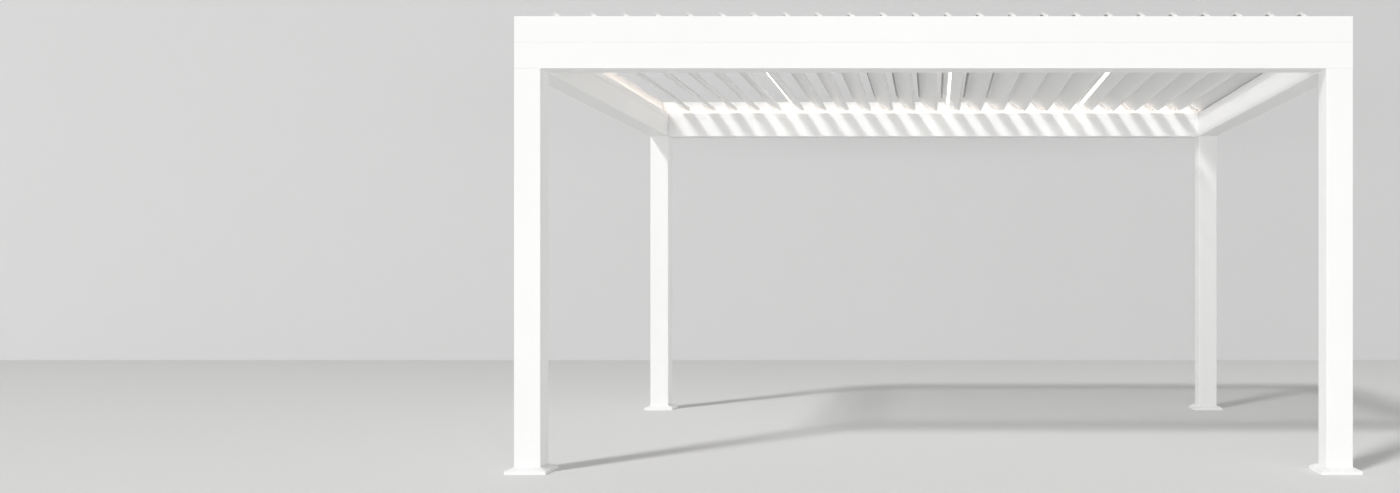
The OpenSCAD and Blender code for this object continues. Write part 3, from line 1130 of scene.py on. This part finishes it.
@dataclass
class Fixings:
    """Screws and clips, set in rows by one geometry tree.

    Attributes:
        shop: Where the pieces are made.
        seed: Seed of the last row's turns; each row takes the next one.
        lobes: Lobes of a screw's socket.
        screw_ring_shares: Crest radius, root radius and height of each ring of a screw's head.
        clip_steps: How many straight steps a clip's arc has.
        clip_opening: Angle of a clip's open side.
        patterns: The fixings that the tree copies, by name.
        tree: The geometry tree.
    """

    shop: Workshop
    seed: int = 11
    lobes: int = 6
    screw_ring_shares: tuple[Point, ...] = (
        (1.0, 1.0, 0.0),
        (1.0, 1.0, 0.45),
        (0.86, 0.86, 0.82),
        (0.6, 0.6, 1.0),
        (0.46, 0.34, 1.0),
        (0.42, 0.30, 0.45),
    )
    clip_steps: int = 20
    clip_opening: float = radians(64)
    patterns: dict[str, bpy.types.Object] = field(init=False, default_factory=dict)
    tree: bpy.types.NodeTree = field(init=False, default_factory=fixings_tree)

    def screw(self, name: str, radius: float, height: float) -> bpy.types.Object:
        """Pan head screw with a lobed socket, standing on its seat along +Z.

        Args:
            name: Name of the pattern.
            radius: Radius of the head.
            height: Height of the head.

        Returns:
            The pattern object.
        """
        count = 2 * self.lobes
        points: list[Point] = []
        for crest, root, share in self.screw_ring_shares:
            for i in range(count):
                r = radius * (crest if i % 2 == 0 else root)
                points.append((r * cos(tau * i / count), r * sin(tau * i / count), height * share))
        return self.keep(name, points, skin(count, len(self.screw_ring_shares)))

    def clip(self, name: str, inner: float, outer: float, thickness: float) -> bpy.types.Object:
        """Retaining clip: a flat ring open on one side.

        Args:
            name: Name of the pattern.
            inner: Inner radius.
            outer: Outer radius.
            thickness: Thickness along +Z.

        Returns:
            The pattern object.
        """
        section = ((inner, 0.0), (outer, 0.0), (outer, thickness), (inner, thickness))
        points: list[Point] = []
        for i in range(self.clip_steps + 1):
            angle = self.clip_opening / 2 + (tau - self.clip_opening) * i / self.clip_steps
            points += [(r * cos(angle), r * sin(angle), z) for r, z in section]
        return self.keep(name, points, skin(len(section), self.clip_steps + 1))

    def keep(self, name: str, points: list[Point], faces: list[Face]) -> bpy.types.Object:
        """Keep a pattern object for the tree to copy.

        Args:
            name: Name of the pattern.
            points: Its points.
            faces: Its faces.

        Returns:
            The pattern object.
        """
        self.patterns[name] = self.shop.show(name, self.shop.mesh(name, points, faces))
        return self.patterns[name]

    def points(self, name: str, places: Sequence[Point], axes: Sequence[Point]) -> bpy.types.Mesh:
        """Mesh of loose points, each with the axis that its fixing stands on.

        Args:
            name: Name of the mesh.
            places: The points.
            axes: The axis at each point.

        Returns:
            The mesh.
        """
        mesh = bpy.data.meshes.new(name)
        mesh.from_pydata(list(places), [], [])
        store = mesh.attributes.new("axis", "FLOAT_VECTOR", "POINT")
        for item, axis in zip(store.data, axes):
            item.vector = axis
        return mesh

    def lay(
        self, name: str, pattern: bpy.types.Object, places: Sequence[Point], axes: Sequence[Point], body: str
    ) -> bpy.types.Object:
        """Set one kind of fixing at the places given.

        Args:
            name: Name of the piece.
            pattern: The fixing to copy.
            places: Where the fixings stand.
            axes: The direction that each stands in.
            body: The body that they move with.

        Returns:
            The finished piece.
        """
        self.seed += 1
        values = {"Fixing": pattern, "Seed": self.seed, "Finish": self.shop.palette.stainless}
        piece = self.shop.grow(name, self.points(name, places, axes), self.tree, values)
        return self.shop.seat(piece, body, Slot.STEEL)

    def clear(self) -> None:
        """Remove the pattern objects."""
        for pattern in self.patterns.values():
            bpy.data.objects.remove(pattern)


@dataclass(frozen=True)
class BeadStyle:
    """How a bead is laid.

    Attributes:
        radius: Radius of the bead.
        step: Distance between its rings.
        wander: How far a hand-laid bead strays.
        sides: Sides of its section.
        seed: Seed of the straying.
    """

    radius: float
    step: float
    wander: float = 0.0
    sides: int = 8
    seed: int = 3


@dataclass
class Beads:
    """Seals and sealant lines, run along edges by one geometry tree.

    Attributes:
        shop: Where the pieces are made.
        tree: The geometry tree.
    """

    shop: Workshop
    tree: bpy.types.NodeTree = field(init=False, default_factory=bead_tree)

    def run(
        self,
        name: str,
        lines: Sequence[Sequence[Point]],
        body: str,
        finish: bpy.types.Material,
        style: BeadStyle,
    ) -> bpy.types.Object:
        """Run beads along lines.

        Args:
            name: Name of the piece.
            lines: Each line's points.
            body: The body that the beads move with.
            finish: The material.
            style: How the beads are laid.

        Returns:
            The finished piece.
        """
        points: list[Point] = []
        edges: list[tuple[int, int]] = []
        for line in lines:
            first = len(points)
            points.extend(line)
            edges.extend((first + i, first + i + 1) for i in range(len(line) - 1))
        base = bpy.data.meshes.new(name)
        base.from_pydata(points, edges, [])
        values = {
            "Radius": style.radius,
            "Step": style.step,
            "Wander": style.wander,
            "Sides": style.sides,
            "Seed": style.seed,
            "Finish": finish,
        }
        piece = self.shop.grow(name, base, self.tree, values)
        piece.data.shade_smooth()
        return self.shop.seat(piece, body, Slot.NYLON)


# Sub-assemblies


@dataclass
class Stand:
    """Posts, foot covers and base plates.

    Attributes:
        shop: Where the nodes are dressed.
    """

    shop: Workshop

    def build(self) -> None:
        """Dress the nodes."""
        self.shop.dress("post_", self.shop.palette.post_coat)
        self.shop.dress("foot_cover_", self.shop.palette.post_coat)
        self.shop.dress("base_plate_", self.shop.palette.zinc)


@dataclass
class RimWork:
    """Beams and roof frame, with what is fixed in the gutter.

    Attributes:
        shop: Where the pieces are made.
        fixings: Makes the screws.
        beads: Makes the sealant.
        rim: Sizes of the rim.
        screw_spacing: Distance between the gutter's screws, before it is rounded to fit.
        screw_radius: Radius of a screw's head.
        screw_height: Height of a screw's head.
        corner_clear: From a corner of the gutter's middle line to the next screw.
        outlet_clear: From the middle of a drain outlet to the sealant.
        lip_clear: From the gutter's lip down to the sealant.
        sealant: How the sealant is laid.
    """

    shop: Workshop
    fixings: Fixings
    beads: Beads
    rim: Rim
    screw_spacing: float = 0.45
    screw_radius: float = 0.0055
    screw_height: float = 0.0035
    corner_clear: float = 0.22
    outlet_clear: float = 0.023
    lip_clear: float = 0.003
    sealant: BeadStyle = BeadStyle(radius=0.0022, step=0.008, wander=0.0005)

    def build(self) -> None:
        """Dress the nodes and make the pieces in the gutter."""
        for prefix in ("beam_", "roof_frame_", "gutter_"):
            self.shop.dress(prefix, self.shop.palette.rim_coat)
        self.shop.dress("drain_outlets", self.shop.palette.outlet_plastic)
        self.gutter_screws()
        self.corner_sealant()

    def gutter_screws(self) -> None:
        """Screws through the gutter floor into the beams."""
        pattern = self.fixings.screw("gutter_screw_pattern", self.screw_radius, self.screw_height)
        floor = self.rim.seam + self.rim.wall
        places: list[Point] = []
        for side in Side:
            start = Vector(self.rim.corner(self.rim.channel_middle, floor, side.value))
            end = Vector(self.rim.corner(self.rim.channel_middle, floor, side.value + 1))
            run = (end - start).length - 2 * self.corner_clear
            count = round(run / self.screw_spacing)
            for i in range(count + 1):
                share = (self.corner_clear + run * i / count) / (run + 2 * self.corner_clear)
                places.append(tuple(start.lerp(end, share)))
        self.fixings.lay("gutter_screws", pattern, places, [UP] * len(places), "root")

    def corner_sealant(self) -> None:
        """Hand-laid sealant along the mitres inside the gutter, from the lip down and up to each outlet."""
        floor = self.rim.seam + self.rim.wall
        high = self.rim.lip - self.lip_clear
        near = self.rim.box + self.rim.wall
        far = self.rim.band - self.rim.wall
        half_gap = self.outlet_clear / sqrt(2)
        lines = []
        for index in range(len(Side)):
            for wall, towards in ((near, 1), (far, -1)):
                stop = self.rim.channel_middle - towards * half_gap
                lines.append([self.rim.corner(wall, z, index) for z in (high, floor)])
                lines.append([self.rim.corner(u, floor, index) for u in (wall, stop)])
        self.beads.run("corner_sealant", lines, "root", self.shop.palette.sealant, self.sealant)


@dataclass
class LouvreRoof:
    """Louvres with their seals, hook plugs, cap screws and drive clips.

    Sizes across and up are those of a closed louvre.

    Attributes:
        shop: Where the pieces are made.
        fixings: Makes the screws and clips.
        beads: Makes the seals.
        pivots: The louvres' pivots, from left to right.
        tip_reach: From the pivot across to the blade's tip corner.
        pivot_drop: From the tip corner up to the pivot.
        cap: Thickness of an end cap.
        arm_radius: From the pivot to the drive pin.
        arm_angle: Direction of the drive pin.
        upstand_middle: From the tip corner across to the upstand's middle.
        upstand_top: Height of the upstand above the tip corner.
        upstand_lean: From the tip corner across to the upstand's outer face.
        blade_wall: Wall of the blade's extrusion.
        hook_clear: Clearance of the hook round the next louvre's upstand.
        plug_gap: Clearance of a plug in its hook.
        round_steps: How many straight steps a plug's round corner has.
        seal: How the seal is laid.
        seal_rise_share: How far the seal's middle stands above the upstand, as a share of its radius.
        cap_screws: Places of the cap's screws from the tip corner, across and up.
        screw_radius: Radius of a screw's head.
        screw_height: Height of a screw's head.
        clip_radii: Inner and outer radius of a drive clip.
        clip_thickness: Thickness of a drive clip.
        clip_gap: From the push rod to the clip.
    """

    shop: Workshop
    fixings: Fixings
    beads: Beads
    pivots: list[Pivot]
    tip_reach: float = 0.030
    pivot_drop: float = 0.011
    cap: float = 0.003
    arm_radius: float = 0.042
    arm_angle: float = radians(150)
    upstand_middle: float = 0.008
    upstand_top: float = 0.020
    upstand_lean: float = 0.009
    blade_wall: float = 0.002
    hook_clear: float = 0.006
    plug_gap: float = 0.0004
    round_steps: int = 6
    seal: BeadStyle = BeadStyle(radius=0.0016, step=0.5)
    seal_rise_share: float = 0.6
    cap_screws: tuple[Flat, ...] = ((-0.0924, 0.014), (-0.1658, 0.023))
    screw_radius: float = 0.0038
    screw_height: float = 0.0022
    clip_radii: Flat = (0.0041, 0.0078)
    clip_thickness: float = 0.0009
    clip_gap: float = 0.0001

    def build(self) -> None:
        """Dress the louvres and bushes, and make what is fixed to each louvre."""
        self.shop.dress("louvre_", self.shop.palette.louvre_coat)
        self.shop.dress("pivot_bushes_", self.shop.palette.nylon)
        self.shop.dress("push_rod", self.shop.palette.rod_metal)
        screw = self.fixings.screw("cap_screw_pattern", self.screw_radius, self.screw_height)
        clip = self.fixings.clip("drive_clip_pattern", *self.clip_radii, self.clip_thickness)
        for pivot in self.pivots:
            self.cap_fixings(pivot, screw)
            self.drive_clip(pivot, clip)
            self.upstand_seal(pivot)
            self.hook_plugs(pivot)

    @property
    def blade_ends(self) -> Flat:
        """Front and back faces of the louvres' end caps."""
        strip_low, strip_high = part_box("light_strip_middle")
        return strip_low.y - self.cap, strip_high.y + self.cap

    def cap_fixings(self, pivot: Pivot, screw: bpy.types.Object) -> None:
        """Screws that hold both end caps.

        Args:
            pivot: The louvre's pivot.
            screw: The screw to copy.
        """
        front, back = self.blade_ends
        places: list[Point] = []
        axes: list[Point] = []
        for y, direction in ((front, -1.0), (back, 1.0)):
            for across, up in self.cap_screws:
                places.append(pivot.place(self.tip_reach + across, y, up - self.pivot_drop))
                axes.append((0.0, direction, 0.0))
        self.fixings.lay(pivot.body + "_cap_screws", screw, places, axes, pivot.body)

    def drive_clip(self, pivot: Pivot, clip: bpy.types.Object) -> None:
        """Clip that keeps the push rod on the drive pin.

        Args:
            pivot: The louvre's pivot.
            clip: The clip to copy.
        """
        rod_low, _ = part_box("push_rod")
        across = self.arm_radius * cos(self.arm_angle)
        up = self.arm_radius * sin(self.arm_angle)
        place = pivot.place(across, rod_low.y - self.clip_gap, up)
        self.fixings.lay(pivot.body + "_drive_clip", clip, [place], [(0.0, -1.0, 0.0)], pivot.body)

    def upstand_seal(self, pivot: Pivot) -> None:
        """Rubber seal on the upstand.

        Args:
            pivot: The louvre's pivot.
        """
        front, back = self.blade_ends
        across = self.tip_reach + self.upstand_middle
        up = self.upstand_top - self.pivot_drop + self.seal.radius * self.seal_rise_share
        line = [pivot.place(across, y, up) for y in (front + self.cap, back - self.cap)]
        self.beads.run(pivot.body + "_seal", [line], pivot.body, self.shop.palette.seal_rubber, self.seal)

    def hook_outline(self) -> list[Flat]:
        """Outline of a hook's end from the tip corner of the closed louvre, with its back rounded.

        Returns:
            Points as distance right and height, clockwise from the lower right corner.
        """
        pitch = self.pivots[2].x - self.pivots[1].x
        radius = self.hook_clear + self.blade_wall
        inner = self.upstand_lean + self.hook_clear - pitch
        right = inner - self.plug_gap
        left = inner - 2 * radius
        top = self.upstand_top + radius
        outline = [(right, radius), (left, radius)]
        for i in range(self.round_steps + 1):
            angle = QUARTER_TURN * i / self.round_steps
            outline.append((left + radius * (1 - cos(angle)), top - radius * (1 - sin(angle))))
        return outline + [(right, top)]

    def hook_plugs(self, pivot: Pivot) -> None:
        """Moulded plugs that close both ends of a louvre's hook.

        Args:
            pivot: The louvre's pivot.
        """
        front, back = self.blade_ends
        outline = self.hook_outline()
        points: list[Point] = []
        faces: list[Face] = []
        for outer, inner in ((front, front + self.cap), (back, back - self.cap)):
            inset = self.plug_gap if inner > outer else -self.plug_gap
            faces += skin(len(outline), rings=2, start=len(points))
            for y in (outer + inset, inner - inset):
                points += [pivot.place(self.tip_reach + u, y, v - self.pivot_drop) for u, v in outline]
        name = pivot.body + "_hook_plugs"
        piece = self.shop.show(name, self.shop.mesh(name, points, faces))
        self.shop.seat(piece, pivot.body, Slot.NYLON, self.shop.palette.seal_rubber)


@dataclass
class Lighting:
    """Light strips under the louvres and the lights round the gutter.

    Attributes:
        shop: Where the pieces are made.
        rim: Sizes of the rim.
        bar_thickness: Thickness of a light bar.
        lens_rise: How far the lens stands over the bar.
        lens_skirt: How far the lens reaches down the bar's outer face.
        round_steps: How many straight steps the lens's shoulder has.
        rim_strengths: How strongly each lit side glows; the right side is off.
    """

    shop: Workshop
    rim: Rim
    bar_thickness: float = 0.010
    lens_rise: float = 0.003
    lens_skirt: float = 0.012
    round_steps: int = 6
    rim_strengths: dict[Side, float] = field(
        default_factory=lambda: {Side.FRONT: 3.5, Side.BACK: 3.3, Side.LEFT: 5.6}
    )

    def build(self) -> None:
        """Dress the strips and bars, and make the perimeter lens."""
        self.shop.dress("light_strip_", self.shop.palette.strip_opal)
        self.shop.dress("perimeter_lights", self.shop.palette.light_profile)
        self.perimeter_lens(Side.RIGHT, self.shop.palette.dark_opal)
        for side, strength in self.rim_strengths.items():
            self.perimeter_lens(side, self.shop.palette.rim_opal(side, strength))

    def lens_profile(self) -> list[Flat]:
        """Section of the lens: a skirt down the bar's outer face, a round shoulder and a flat top.

        Returns:
            Points as distance in from the outer face and height, all round the section.
        """
        _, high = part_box("perimeter_lights")
        near = self.rim.half_depth - high.y
        far = near + self.bar_thickness
        top = high.z
        rise = self.lens_rise
        outer = [(near - rise, top - self.lens_skirt)]
        for i in range(self.round_steps + 1):
            angle = QUARTER_TURN * i / self.round_steps
            outer.append((near - rise * cos(angle), top + rise * sin(angle)))
        return outer + [(far, top + rise), (far, top), (near, top), (near, top - self.lens_skirt)]

    def perimeter_lens(self, side: Side, finish: bpy.types.Material) -> None:
        """Opal lens along one side's bar, mitred at its ends.

        Args:
            side: The side of the rim.
            finish: The opal, lit or not.
        """
        profile = self.lens_profile()
        ends = (side.value, side.value + 1)
        points = [self.rim.corner(u, z, corner) for corner in ends for u, z in profile]
        name = "perimeter_lens_" + side.name.lower()
        piece = self.shop.show(name, self.shop.mesh(name, points, skin(len(profile), len(ends))))
        self.shop.seat(piece, "root", Slot.LIGHT, finish)


# Studio


@dataclass(frozen=True)
class StagePaint:
    """Matt paint that goes from one tone to another along an axis, a painted falloff of light and shade across
    the stage; a one-sided piece isn't seen from behind.

    Attributes:
        name: The material's name.
        near: Colour where the painted falloff of light starts.
        far: Colour where it ends.
        axis: The axis that the painted falloff runs along, "X" or "Y".
        span: Where the painted falloff starts and ends.
        one_sided: Whether the piece is clear from behind.
        roughness: Roughness of the paint.
        shine: Specular level of the paint.
    """

    name: str
    near: Colour
    far: Colour
    axis: str
    span: Flat
    one_sided: bool = False
    roughness: float = 0.9
    shine: float = 0.1

    def build(self) -> bpy.types.Material:
        """Build the material.

        Returns:
            The material.
        """
        draft = Draft(self.name)
        g = draft.graph
        low, high = self.span
        share = g.add(
            "ShaderNodeMapRange",
            {"Value": g.split(draft.position).outputs[self.axis], "From Min": low, "From Max": high},
        )
        # Painted shade: the colour goes from near to far along the axis, a falloff of light painted into the
        # stage.
        colour = g.mix(share.outputs["Result"], opaque(self.near), opaque(self.far))
        draft.surface(colour, self.roughness)
        draft.shader.inputs["Specular IOR Level"].default_value = self.shine
        if self.one_sided:
            clear = g.add("ShaderNodeBsdfTransparent")
            facing = g.add("ShaderNodeNewGeometry")
            mix = g.add(
                "ShaderNodeMixShader",
                {0: facing.outputs["Backfacing"], 1: draft.shader.outputs[0], 2: clear.outputs[0]},
            )
            g.put(draft.output.inputs["Surface"], mix.outputs[0])
        return draft.material


@dataclass
class Studio:
    """Floor, backdrop, lights and camera.

    Attributes:
        rim: Sizes of the rim.
        floor_near: Colour of the floor in front, the lighter end of a painted falloff of light.
        floor_far: Colour of the floor at the back, darker as painted shade.
        floor_span: Where along Y the floor's painted shade deepens.
        wall_left: Colour of the backdrop on the left, the lighter end of a painted falloff of light.
        wall_right: Colour of the backdrop on the right, darker as painted shade.
        wall_span: Where along X the backdrop's painted shade deepens.
        wall_distance: From the pergola's front to the backdrop.
        reach: How far the floor and the backdrop run.
        sky_level: Strength of the light from all round.
        seen_sky: Strength at which the sky is seen or mirrored.
        sun_strength: Strength of the key light.
        sun_angle: Angle that the key light's disc fills.
        sun_travel: Direction in which the key light shines.
        sun_place: Where the key light's object stands; it changes no light.
        panel_length: Length of a fill panel.
        panel_height: Height of a fill panel.
        panel_middle: Height of a fill panel's middle above the floor.
        front_distance: From the pergola's middle to the front panel.
        side_distance: From the pergola's middle to a side panel.
        front_power: Power of the front panel in watts.
        right_power: Power of the right panel in watts.
        left_power: Power of the left panel in watts.
        image: Width and height of the photograph in pixels.
        vanishing_pixel: Pixel where lines along Y meet.
        focal_pixels: Focal length in pixels.
        sensor_width: Width of the camera's sensor in millimetres.
        camera_distance: From the pergola's front to the camera.
        eye_height: Height of the camera.
        view_end: How far the camera sees.
    """

    rim: Rim
    # The floor and backdrop colours carry painted shade: darker towards the back and towards the right.
    floor_near: Colour = (0.80, 0.80, 0.79)
    floor_far: Colour = (0.605, 0.605, 0.60)
    floor_span: Flat = (-3.0, 7.5)
    wall_left: Colour = (0.680, 0.680, 0.680)
    wall_right: Colour = (0.638, 0.638, 0.638)
    wall_span: Flat = (-7.0, 5.0)
    wall_distance: float = 9.6
    reach: float = 60.0
    sky_level: float = 0.345
    seen_sky: float = 0.66
    sun_strength: float = 1.8
    sun_angle: float = radians(9)
    sun_travel: Point = (0.68, 0.89, -1.0)
    sun_place: Point = (-6.0, -8.0, 9.0)
    panel_length: float = 14.0
    panel_height: float = 1.0
    panel_middle: float = 0.55
    front_distance: float = 18.0
    side_distance: float = 30.0
    front_power: float = 630.0
    right_power: float = 1300.0
    left_power: float = 1450.0
    image: Flat = (1400.0, 493.0)
    vanishing_pixel: Flat = (933.5, 277.2)
    focal_pixels: float = 1235.0
    sensor_width: float = 36.0
    camera_distance: float = 6.99
    eye_height: float = 1.112
    view_end: float = 200.0

    def build(self) -> None:
        """Build the studio."""
        self.stage()
        self.world()
        self.sun()
        self.panel("front_fill", Side.FRONT, self.front_distance, self.front_power)
        self.panel("right_fill", Side.RIGHT, self.side_distance, self.right_power)
        self.panel("left_fill", Side.LEFT, self.side_distance, self.left_power)
        self.camera()
        bpy.context.scene.view_settings.view_transform = "Standard"

    def plane(self, points: Sequence[Point], paint: StagePaint) -> None:
        """Make one flat stage piece.

        Args:
            points: Its four corners.
            paint: Its paint, whose name the piece takes.
        """
        mesh = bpy.data.meshes.new(paint.name)
        mesh.from_pydata(list(points), [], [(0, 1, 2, 3)])
        mesh.materials.append(paint.build())
        piece = bpy.data.objects.new(paint.name, mesh)
        bpy.context.scene.collection.objects.link(piece)

    def stage(self) -> None:
        """Floor and backdrop, with painted shade that darkens them towards the back and towards the right."""
        r = self.reach
        y = self.wall_distance - self.rim.half_depth
        # Painted shade: the floor darkens towards the back and the backdrop towards the right, light falloff
        # painted into their colours.
        self.plane(
            [(-r, -r, 0), (r, -r, 0), (r, r, 0), (-r, r, 0)],
            StagePaint("floor", self.floor_near, self.floor_far, "Y", self.floor_span),
        )
        self.plane(
            [(-r, y, 0), (r, y, 0), (r, y, r), (-r, y, r)],
            StagePaint("backdrop", self.wall_left, self.wall_right, "X", self.wall_span, one_sided=True),
        )

    def world(self) -> None:
        """Even soft light from all round, with a pale grey where it is seen or mirrored."""
        world = bpy.data.worlds.new("studio")
        bpy.context.scene.world = world
        world.use_nodes = True
        world.node_tree.nodes.clear()
        g = Graph(world.node_tree)
        ray = g.add("ShaderNodeLightPath")
        seen = g.math("MAXIMUM", ray.outputs["Is Camera Ray"], ray.outputs["Is Glossy Ray"])
        seen = g.math("MAXIMUM", seen, ray.outputs["Is Transmission Ray"])
        strength = g.add(
            "ShaderNodeMapRange", {"Value": seen, "To Min": self.sky_level, "To Max": self.seen_sky}
        )
        back = g.add(
            "ShaderNodeBackground", {"Color": opaque(WHITE), "Strength": strength.outputs["Result"]}
        )
        g.add("ShaderNodeOutputWorld", {"Surface": back.outputs[0]})

    def sun(self) -> None:
        """Key light from the front left, soft at the edges of its shadows."""
        lamp = bpy.data.lights.new("key", "SUN")
        lamp.energy = self.sun_strength
        lamp.angle = self.sun_angle
        key = bpy.data.objects.new("key", lamp)
        key.rotation_mode = "QUATERNION"
        key.rotation_quaternion = Vector(self.sun_travel).to_track_quat("-Z", "Y")
        key.location = self.sun_place
        bpy.context.scene.collection.objects.link(key)

    def panel(self, name: str, side: Side, distance: float, power: float) -> None:
        """Wide low fill panel off one side, which reaches in under the roof.

        Args:
            name: The lamp's name.
            side: The side that it stands off.
            distance: Its distance from the pergola's middle.
            power: Its power in watts.
        """
        lamp = bpy.data.lights.new(name, "AREA")
        lamp.shape = "RECTANGLE"
        lamp.size = self.panel_length
        lamp.size_y = self.panel_height
        lamp.energy = power
        fill = bpy.data.objects.new(name, lamp)
        turn = QUARTER_TURN * side.value
        fill.location = (distance * sin(turn), -distance * cos(turn), self.panel_middle)
        fill.rotation_euler = (QUARTER_TURN, 0.0, turn)
        fill.visible_camera = False
        bpy.context.scene.collection.objects.link(fill)

    def camera(self) -> None:
        """Level camera on the pergola's middle plane, shifted to the photograph's framing."""
        width, height = self.image
        across, down = self.vanishing_pixel
        data = bpy.data.cameras.new("camera")
        data.sensor_width = self.sensor_width
        data.lens = self.focal_pixels / width * self.sensor_width
        data.shift_x = (width / 2 - across) / width
        data.shift_y = (down - height / 2) / width
        data.clip_end = self.view_end
        camera = bpy.data.objects.new("camera", data)
        camera.location = (0.0, -self.rim.half_depth - self.camera_distance, self.eye_height)
        camera.rotation_euler = (QUARTER_TURN, 0.0, 0.0)
        bpy.context.scene.collection.objects.link(camera)
        bpy.context.scene.camera = camera


def main() -> None:
    """Build every sub-assembly in order."""
    logging.basicConfig(level=logging.INFO, format="%(name)s: %(message)s")
    rim = Rim.from_frame()
    shop = Workshop(Palette(rim))
    fixings = Fixings(shop)
    beads = Beads(shop)
    Studio(rim).build()
    Stand(shop).build()
    RimWork(shop, fixings, beads, rim).build()
    LouvreRoof(shop, fixings, beads, read_pivots()).build()
    Lighting(shop, rim).build()
    fixings.clear()
    LOG.info("made %d pieces", shop.count)


if __name__ == "__main__":
    main()
